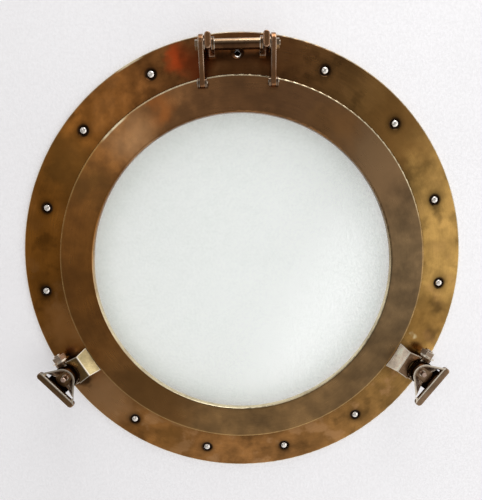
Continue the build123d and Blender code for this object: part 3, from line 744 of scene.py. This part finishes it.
# Axis of the nut, the ways outward and across the stirrup's bar, two depths, and three colours.
dogs = {
    "left": {"axis": (-0.1762, -0.1038), "outward": (-0.8616, -0.5075), "across": (-0.743, -0.669),
             "foot": -29.0 * MM, "front": -36.5 * MM,
             "plate": (0.17, 0.105, 0.040), "leg": (0.58, 0.47, 0.25), "stirrup": (0.19, 0.108, 0.050)},
    "right": {"axis": (0.1749, -0.1059), "outward": (0.8554, -0.5180), "across": (0.791, -0.6115),
              "foot": -31.0 * MM, "front": -38.5 * MM,
              "plate": (0.235, 0.145, 0.085), "leg": (1.0, 0.83, 0.66), "stirrup": (0.23, 0.146, 0.088)},
}
for side, dog in dogs.items():
    # Painted sheen: the clamp's sloped leg is painted far lighter than its plate, most on the right dog, with
    # its wear. A painted highlight runs along the fold, and painted shade darkens the plate round the nut.
    leg = (dog["leg"], "radius", CLAMP_LEG_RADIUS + 0.6 * MM, CLAMP_LEG_RADIUS - 0.4 * MM)
    finishes[side + "_clamp"] = handled_brass(
        side + "_clamp_brass", dog["plate"], CREAM, 0.28, 1.2 * MM, lighter=leg,
        line=(dog["outward"], CLAMP_LEG_RADIUS, 0.0), shade_spot=(dog["axis"], *NOTCH, *EVERY_DEPTH))
    # Painted highlight: a bright line along the inner edge of the stirrup's bar. Painted shade darkens the
    # stirrup's foot outside the cup, at the back.
    bar = Vector(dog["axis"]).dot(Vector(dog["across"])) + BAR_EDGE
    finishes[side + "_stirrup"] = handled_brass(
        side + "_stirrup_brass", dog["stirrup"], CREAM, 0.28, 1.3 * MM, wear=0.75,
        line=(dog["across"], bar, dog["front"] + BAR_BACK),
        shade_spot=(dog["axis"], *OUTSIDE_CUP, dog["foot"] - 0.4 * MM, dog["foot"] - 0.1 * MM))

# %% finishes of the smaller pieces
EAR_FILM = (0.16, 0.098, 0.057)
BOLT_FILM_AND_SHADE = (0.08, 0.05, 0.03)
BOLT_LIGHT = (0.62, 0.44, 0.35)
NUT_FILM = (0.52, 0.39, 0.29)
PLAIN_FILM = (0.30, 0.17, 0.07)
PLAIN_EDGE = (0.5, 0.34, 0.18)
# Painted shade: the swing bolt is painted dark behind its tip, where it lies in shadow, and the tip keeps a
# lighter colour.
bolt_tip = (BOLT_LIGHT, "depth", -26 * MM, -28 * MM)
finishes["dog_ears"] = handled_brass("dog_ear_brass", EAR_FILM, CREAM, 0.28, 1.2 * MM, wear=0.7)
finishes["bolt_brass"] = handled_brass("bolt_brass", BOLT_FILM_AND_SHADE, CREAM, 0.3, 0.6 * MM, wear=0.5,
                                       lighter=bolt_tip)
finishes["nut_metal"] = handled_brass("nut_metal", NUT_FILM, CREAM, 0.2, 0.9 * MM)
finishes["plain_brass"] = handled_brass("plain_brass", PLAIN_FILM, PLAIN_EDGE, 0.4, 1.0 * MM, wear=0.4)

# %% [markdown]
# Bright screws
#
# The screws are nickel plated and catch the light as small bright spots. Nickel is a little warm, and
# grime dulls it in patches. The nuts and bolts of the hinge and the dogs are handled more, and got their
# finish with the castings.

# %% nickel
NICKEL = (0.98, 0.93, 0.88)
DULL_NICKEL = (0.30, 0.22, 0.14)

nickel, tree, out = new_material("worn_nickel")
place = object_place(tree)[0]
patches = noise(tree, place, 260.0, detail=4.0)
scratches = noise(tree, place, 900.0, detail=2.0)
colour = mix(tree, step(tree, patches, 0.55, 0.8, 0.0, 0.6), NICKEL, DULL_NICKEL)
shader = add_node(tree, "ShaderNodeBsdfPrincipled", Base_Color=colour, Metallic=1.0,
                  Roughness=step(tree, patches, 0.35, 0.7, 0.16, 0.36),
                  Normal=bump(tree, scratches, 0.02, 0.04 * MM))
put(tree, shader.outputs[0], out.inputs[0])
finishes["bright_fixings"] = nickel
print("nickel", NICKEL)

# %% [markdown]
# Glass and rubber
#
# The pane is plain clear glass with a faint green body and a little dust, which gathers towards its rim.
# It is made see-through by its alpha, so that the wall behind keeps its light and its shadow. The seal
# and the gasket are dull black rubber with a fine grain.

# %% glass
DUST_START = 0.118
GREEN_DUST = ((0.55, 0.88, 0.60), (0.62, 0.93, 0.66))

glass, tree, out = new_material("dusty_glass")
place, x, y, z = object_place(tree)
dust = noise(tree, place, 60.0, detail=5.0, roughness=0.7)
rim_dust = step(tree, hypotenuse(tree, x, z), DUST_START, LIP_RADIUS, 0.0, 0.02)
veil = plus(tree, step(tree, dust, 0.35, 0.75, 0.045, 0.06), rim_dust)
shader = add_node(tree, "ShaderNodeBsdfPrincipled", Alpha=veil, Base_Color=mix(tree, dust, *GREEN_DUST),
                  Roughness=step(tree, dust, 0.3, 0.7, 0.04, 0.14))
put(tree, shader.outputs[0], out.inputs[0])
finishes["glass"] = glass
print("glass with dust from radius", DUST_START, "m")

# %% rubber
BLACKS = ((0.012, 0.012, 0.012), (0.035, 0.034, 0.032))

rubber, tree, out = new_material("black_rubber")
grain = noise(tree, object_place(tree)[0], 900.0, detail=3.0)
shader = add_node(tree, "ShaderNodeBsdfPrincipled", Base_Color=mix(tree, grain, *BLACKS),
                  Roughness=step(tree, grain, 0.3, 0.7, 0.62, 0.8), Normal=bump(tree, grain, 0.3, 0.1 * MM))
put(tree, shader.outputs[0], out.inputs[0])
finishes["rubber"] = rubber
print("rubber", BLACKS)

# %% [markdown]
# Who gets which finish
#
# The record names a broad finish for every node. The two rings have finishes of their own, the hinge and
# the dogs get the handled brass, and everything else takes the finish that its slot names.

# %% assign the finishes
special = {"outer_ring": "frame_ring", "sash_ring": "sash_ring", "retaining_ring": "plain_brass",
           "hinge_tube": "tube_brass"}
for name in nodes:
    if "hinge_lug" in name or "hinge_arm" in name:
        special[name] = "hinge_brass"
    elif name in ("hinge_collars", "arm_cheeks", "arm_rivets"):
        special[name] = "small_brass"
    elif "clamp_lug" in name or "stirrup" in name:
        special[name] = "_".join(name.split("_")[:2])
    elif "dog_ears" in name:
        special[name] = "dog_ears"
    elif "swing_bolt" in name:
        special[name] = "bolt_brass"
    elif name in ("hinge_bolt", "hinge_nut", "hinge_washers"):
        special[name] = "hinge_bolt"
    elif "pivot" in name:
        special[name] = "nut_metal"
slots = {part["node"]: part["material_slot"] for part in frame["record"]["subparts"]}
for name, piece in nodes.items():
    for place in piece.material_slots:
        place.material = finishes[special.get(name, slots[name])]
print("finishes", sorted(finishes))

# %% [markdown]
# Screws by Geometry Nodes
#
# Twelve wall screws and eight small retaining screws are the same thing in two sizes, so one node tree
# makes both. It builds a round head with a cross recess cut into it, a shank, a thread and a point, and
# sets one on every point it is given, each turned by a chance amount with a fixed seed, as screws end up
# in life. Heads with a recess, and a thread that winds, are what the plain CAD screws leave out.

# %% inputs of the screw tree
SCREW_LENGTHS = ("Head Radius", "Head Height", "Underside", "Shank Radius", "Shank Length", "Thread Radius",
                 "Thread Length", "Point Length", "Recess Width", "Recess Depth")


def tree_value(tree, name, kind="NodeSocketFloat"):
    """A named input of a geometry tree."""
    return tree.interface.new_socket(name=name, in_out="INPUT", socket_type=kind)


screw_tree = bpy.data.node_groups.new("round_head_screws", "GeometryNodeTree")
tree_value(screw_tree, "Points", "NodeSocketGeometry")
for name in SCREW_LENGTHS:
    tree_value(screw_tree, name)
tree_value(screw_tree, "Turns")
tree_value(screw_tree, "Lean", "NodeSocketRotation")
tree_value(screw_tree, "Finish", "NodeSocketMaterial")
screw_tree.interface.new_socket(name="Screws", in_out="OUTPUT", socket_type="NodeSocketGeometry")
given = screw_tree.nodes.new("NodeGroupInput").outputs
print("lengths of a screw:", len(SCREW_LENGTHS))

# %% shapes for the screw tree
SEGMENTS = 32


def moved(tree, geometry, height, scale=(1.0, 1.0, 1.0), turn=0.0):
    """Geometry scaled, turned about the screw's axis and set at a height on it."""
    up_by = add_node(tree, "ShaderNodeCombineXYZ", Z=height).outputs[0]
    return add_node(tree, "GeometryNodeTransform", Geometry=geometry, Translation=up_by, Scale=scale,
                    Rotation=(0.0, 0.0, turn)).outputs[0]


def mesh_boolean(tree, operation, body, *tools):
    """A body cut by tools, or what it shares with them."""
    node = add_node(tree, "GeometryNodeMeshBoolean", [("operation", operation), ("solver", "EXACT")])
    if operation == "DIFFERENCE":
        put(tree, body, node.inputs["Mesh 1"])
    else:
        put(tree, body, node.inputs["Mesh 2"])
    for tool in tools:
        tree.links.new(tool, node.inputs["Mesh 2"])
    return node.outputs[0]


def minus(value):
    """The same length, downward along the screw."""
    return times(screw_tree, value, -1.0)


def cone(top, bottom, depth):
    """A closed cone or cylinder that stands on the height it is moved to."""
    return add_node(screw_tree, "GeometryNodeMeshCone", Vertices=SEGMENTS, Radius_Top=top,
                    Radius_Bottom=bottom, Depth=depth).outputs["Mesh"]


def box(x, y, z):
    """A box of three sizes."""
    size = add_node(screw_tree, "ShaderNodeCombineXYZ", X=x, Y=y, Z=z).outputs[0]
    return add_node(screw_tree, "GeometryNodeMeshCube", Size=size).outputs["Mesh"]


print("round shapes have", SEGMENTS, "sides")

# %% head of the screw
DOME_RINGS = 20
ARM_SHARE = 1.05
WIDE_SHARE = 4.0

dome_scale = add_node(screw_tree, "ShaderNodeCombineXYZ", X=given["Head Radius"], Y=given["Head Radius"],
                      Z=given["Head Height"]).outputs[0]
ball = add_node(screw_tree, "GeometryNodeMeshUVSphere", Segments=SEGMENTS, Rings=DOME_RINGS, Radius=1.0)
ball = moved(screw_tree, ball.outputs["Mesh"], 0.0, dome_scale)
wide = times(screw_tree, given["Head Radius"], WIDE_SHARE)
half_space = moved(screw_tree, box(wide, wide, wide), times(screw_tree, wide, 0.5))
dome = mesh_boolean(screw_tree, "INTERSECT", ball, half_space)
arm_length = times(screw_tree, given["Head Radius"], ARM_SHARE)
slot_depth = times(screw_tree, given["Recess Depth"], 2.0)
arm = moved(screw_tree, box(arm_length, given["Recess Width"], slot_depth), given["Head Height"])
cross = moved(screw_tree, arm, 0.0, turn=math.pi / 2)
head = mesh_boolean(screw_tree, "DIFFERENCE", dome, arm, cross)
print("head of", DOME_RINGS, "rings")

# %% shank, thread and point
CORE_SHARE = 0.8
RIDGE_SHARE = 0.12
TURN_POINTS = 24
RIDGE_SIDES = 5

under = cone(given["Head Radius"], given["Shank Radius"], given["Underside"])
under = moved(screw_tree, under, minus(given["Underside"]))
shank = cone(given["Shank Radius"], given["Shank Radius"], given["Shank Length"])
shank = moved(screw_tree, shank, minus(given["Shank Length"]))
thread_end = plus(screw_tree, given["Shank Length"], given["Thread Length"])
core_radius = times(screw_tree, given["Thread Radius"], CORE_SHARE)
core = moved(screw_tree, cone(core_radius, core_radius, given["Thread Length"]), minus(thread_end))
tip = plus(screw_tree, thread_end, given["Point Length"])
point = moved(screw_tree, cone(core_radius, 0.0, given["Point Length"]), minus(tip))
ridge_radius = times(screw_tree, given["Thread Radius"], RIDGE_SHARE)
winding = less(screw_tree, given["Thread Radius"], ridge_radius)
spiral = add_node(screw_tree, "GeometryNodeCurveSpiral", Resolution=TURN_POINTS, Rotations=given["Turns"],
                  Start_Radius=winding, End_Radius=winding, Height=given["Thread Length"]).outputs[0]
profile = add_node(screw_tree, "GeometryNodeCurvePrimitiveCircle", Resolution=RIDGE_SIDES,
                   Radius=ridge_radius).outputs[0]
ridge = add_node(screw_tree, "GeometryNodeCurveToMesh", Curve=spiral, Profile_Curve=profile,
                 Fill_Caps=True).outputs[0]
ridge = moved(screw_tree, ridge, minus(thread_end))
print("thread with", TURN_POINTS, "points to a turn")

# %% one screw on every point
CHANCE_SEED = 7

screw = screw_tree.nodes.new("GeometryNodeJoinGeometry")
for piece in (head, under, shank, core, point, ridge):
    screw_tree.links.new(piece, screw.inputs[0])
placed = add_node(screw_tree, "GeometryNodeInstanceOnPoints", Points=given["Points"],
                  Instance=screw.outputs[0], Rotation=given["Lean"]).outputs[0]
chance = add_node(screw_tree, "FunctionNodeRandomValue", [("data_type", "FLOAT")], Seed=CHANCE_SEED)
chance.inputs[2].default_value = 0.0
chance.inputs[3].default_value = math.pi
spin = add_node(screw_tree, "ShaderNodeCombineXYZ", Z=chance.outputs[1]).outputs[0]
turned = add_node(screw_tree, "GeometryNodeRotateInstances", Instances=placed, Rotation=spin).outputs[0]
real = add_node(screw_tree, "GeometryNodeRealizeInstances", Geometry=turned).outputs[0]
dressed = add_node(screw_tree, "GeometryNodeSetMaterial", Geometry=real, Material=given["Finish"]).outputs[0]
tree_out = screw_tree.nodes.new("NodeGroupOutput")
screw_tree.links.new(dressed, tree_out.inputs[0])
print("screw tree:", len(screw_tree.nodes), "nodes")

# %% [markdown]
# Setting the screws
#
# The places come from the same circles as in the CAD. The wall screws stand on a circle of 15 places,
# without the one behind the hinge tube and the two behind the dogs. Once the modifier has made the screws
# they are kept as a plain mesh, which stands for the CAD node and moves with its body.

# %% screw sets
SHARP_ANGLE = math.radians(35)


def screw_set(name, points, lean, sizes, turns, body, node):
    """Screws on a list of points, as one plain mesh in place of a CAD node. Sizes are in millimetres."""
    mesh = bpy.data.meshes.new(name + "_points")
    mesh.from_pydata(points, [], [])
    maker = bpy.data.objects.new(name + "_maker", mesh)
    bpy.context.scene.collection.objects.link(maker)
    modifier = maker.modifiers.new("screws", "NODES")
    modifier.node_group = screw_tree
    values = {key: size * MM for key, size in zip(SCREW_LENGTHS, sizes)}
    values |= {"Turns": turns, "Finish": nickel, "Lean": (lean, 0.0, 0.0)}
    for item in screw_tree.interface.items_tree:
        if item.in_out == "INPUT" and item.name in values:
            modifier[item.identifier] = values[item.name]
    bpy.context.view_layer.update()
    result = bpy.data.meshes.new_from_object(maker.evaluated_get(bpy.context.evaluated_depsgraph_get()))
    bpy.data.objects.remove(maker)
    for face in result.polygons:
        face.use_smooth = True
    result.set_sharp_from_angle(angle=SHARP_ANGLE)
    piece = bpy.data.objects.new(name, result)
    bpy.context.scene.collection.objects.link(piece)
    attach(piece, body)
    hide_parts(node)
    print(name, len(points), "screws,", len(result.polygons), "faces")


def circle_points(radius, height, angles):
    """Points on a circle in front of the wall, by their angle from the top."""
    return [(radius * math.sin(a), -height, radius * math.cos(a)) for a in angles]


print("edges sharper than", round(math.degrees(SHARP_ANGLE)), "degrees stay sharp")

# %% wall screws
WALL_SCREW_SEAT = 5.127 * MM
WALL_SCREW_TURNS = 11.0
# The sizes come in the order of SCREW_LENGTHS, in millimetres.
WALL_SCREW_SIZES = (3.3, 1.9, 0.635, 2.1, 3.491, 1.75, 13.636, 4.0, 0.75, 0.9)

wall_angles = [k * SCREW_STEP for k in range(SCREW_PLACES) if k not in EMPTY_NUMBERS]
wall_points = circle_points(SCREW_CIRCLE, WALL_SCREW_SEAT, wall_angles)
screw_set("wall_screw_set", wall_points, math.pi / 2, WALL_SCREW_SIZES, WALL_SCREW_TURNS, "frame",
          "wall_screws")

# %% retaining screws
SMALL_CIRCLE = 158.8 * MM
SMALL_SEAT = 7.8 * MM
SMALL_TURNS = 4.0
SMALL_SIZES = (2.6, 1.3, 0.05, 1.4, 0.8, 1.4, 2.4, 0.8, 0.6, 0.7)
SMALL_PLACES = 8

small_angles = [k * 2 * math.pi / SMALL_PLACES for k in range(SMALL_PLACES)]
small_points = circle_points(SMALL_CIRCLE, SMALL_SEAT, small_angles)
screw_set("retaining_screw_set", small_points, -math.pi / 2, SMALL_SIZES, SMALL_TURNS, "sash",
          "retaining_screws")

# %% [markdown]
# Last things
#
# The Standard view shows colours as they were set, without a film look on top.

# %% finish
bpy.context.scene.view_settings.view_transform = "Standard"
